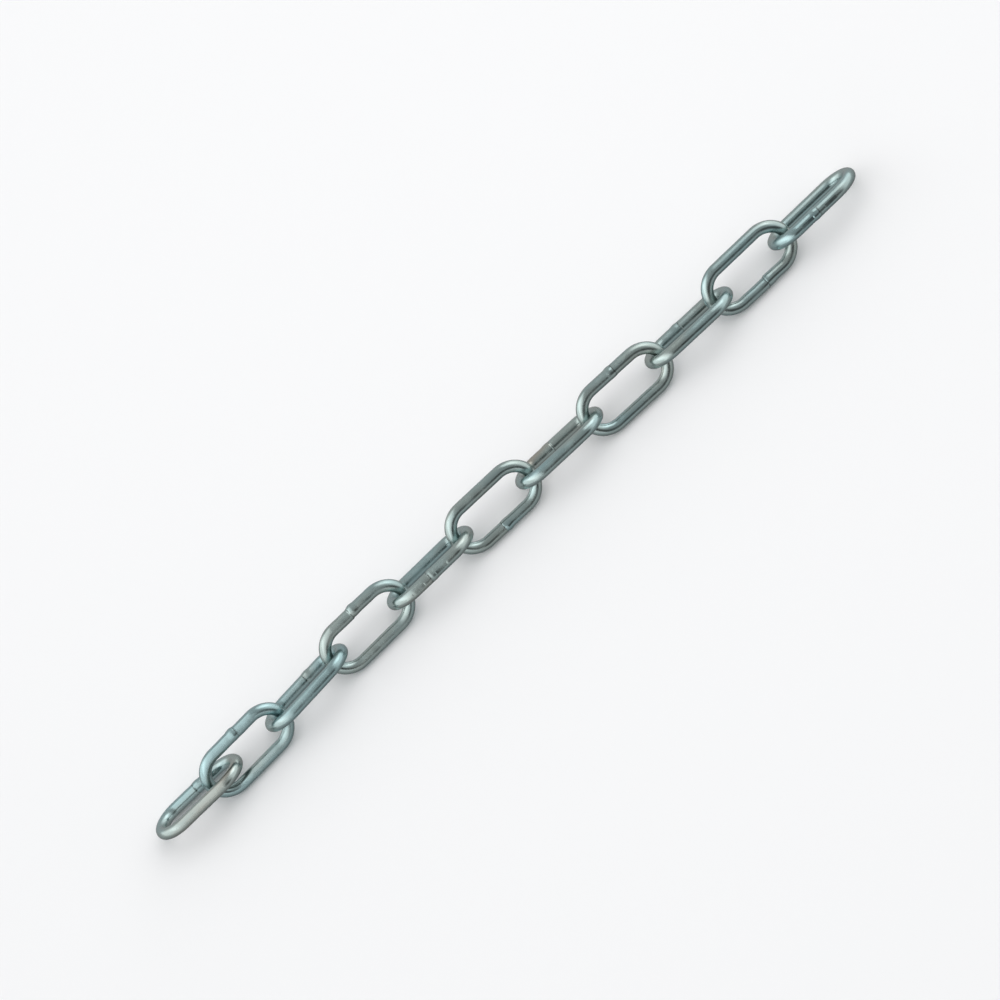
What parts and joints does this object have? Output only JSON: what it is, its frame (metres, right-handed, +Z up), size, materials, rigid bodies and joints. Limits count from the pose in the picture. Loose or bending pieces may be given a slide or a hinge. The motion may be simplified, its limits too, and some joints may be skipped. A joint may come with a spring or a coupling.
{
  "type": "steel chain",
  "caption": "Short straight length of bright zinc-plated, long-link welded steel chain, for hanging, hauling and securing things.",
  "frame": {"origin": "on the floor, under the centre of the chain's bounding box as it lies straight", "axes": "+X along the chain, to the right in the picture; +Y level across it, away from the camera; +Z up"},
  "size_m": [0.4546, 0.026, 0.0237],
  "materials": {
    "zinc_plate": "bright zinc plating over drawn steel wire, semi-gloss, with faint drawing lines along the wire"
  },
  "bodies": {
    "link_01": {"link_01": "zinc_plate"},
    "link_02": {"link_02": "zinc_plate"},
    "link_03": {"link_03": "zinc_plate"},
    "link_04": {"link_04": "zinc_plate"},
    "link_05": {"link_05": "zinc_plate"},
    "link_06": {"link_06": "zinc_plate"},
    "link_07": {"link_07": "zinc_plate"},
    "link_08": {"link_08": "zinc_plate"},
    "link_09": {"link_09": "zinc_plate"},
    "link_10": {"link_10": "zinc_plate"},
    "link_11": {"link_11": "zinc_plate"}
  },
  "joints": [
    {"name": "swing_01_02", "type": "hinge", "parent": "link_01", "child": "link_02", "pos_m": [-0.17631, -0.00134, 0.01011], "axis": [0.0311, -0.8084, 0.5878], "range_deg": [-120, 120]},
    {"name": "swing_02_03", "type": "hinge", "parent": "link_02", "child": "link_03", "pos_m": [-0.1448, -0.00093, 0.01169], "axis": [0.0513, -0.6826, -0.729], "range_deg": [-120, 120]},
    {"name": "swing_03_04", "type": "hinge", "parent": "link_03", "child": "link_04", "pos_m": [-0.10437, 0.00281, 0.01067], "axis": [-0.0143, 0.743, -0.6691], "range_deg": [-120, 120]},
    {"name": "swing_04_05", "type": "hinge", "parent": "link_04", "child": "link_05", "pos_m": [-0.06374, 0.00259, 0.01096], "axis": [-0.0073, 0.6934, 0.7206], "range_deg": [-120, 120]},
    {"name": "swing_05_06", "type": "hinge", "parent": "link_05", "child": "link_06", "pos_m": [-0.023, 0.00242, 0.01041], "axis": [-0.0074, -0.7071, 0.7071], "range_deg": [-120, 120]},
    {"name": "swing_06_07", "type": "hinge", "parent": "link_06", "child": "link_07", "pos_m": [0.01843, 0.00198, 0.01089], "axis": [-0.0073, -0.7009, -0.7133], "range_deg": [-120, 120]},
    {"name": "swing_07_08", "type": "hinge", "parent": "link_07", "child": "link_08", "pos_m": [0.06017, 0.00065, 0.01083], "axis": [0.0148, 0.707, -0.7071], "range_deg": [-120, 120]},
    {"name": "swing_08_09", "type": "hinge", "parent": "link_08", "child": "link_09", "pos_m": [0.1019, -0.00073, 0.01055], "axis": [0.0085, 0.6946, 0.7193], "range_deg": [-120, 120]},
    {"name": "swing_09_10", "type": "hinge", "parent": "link_09", "child": "link_10", "pos_m": [0.14364, -0.00044, 0.01077], "axis": [0.0025, -0.7071, 0.7071], "range_deg": [-120, 120]},
    {"name": "swing_10_11", "type": "hinge", "parent": "link_10", "child": "link_11", "pos_m": [0.18377, 0.0009, 0.01089], "axis": [0.0025, -0.7071, -0.7071], "range_deg": [-120, 120]}
  ]
}
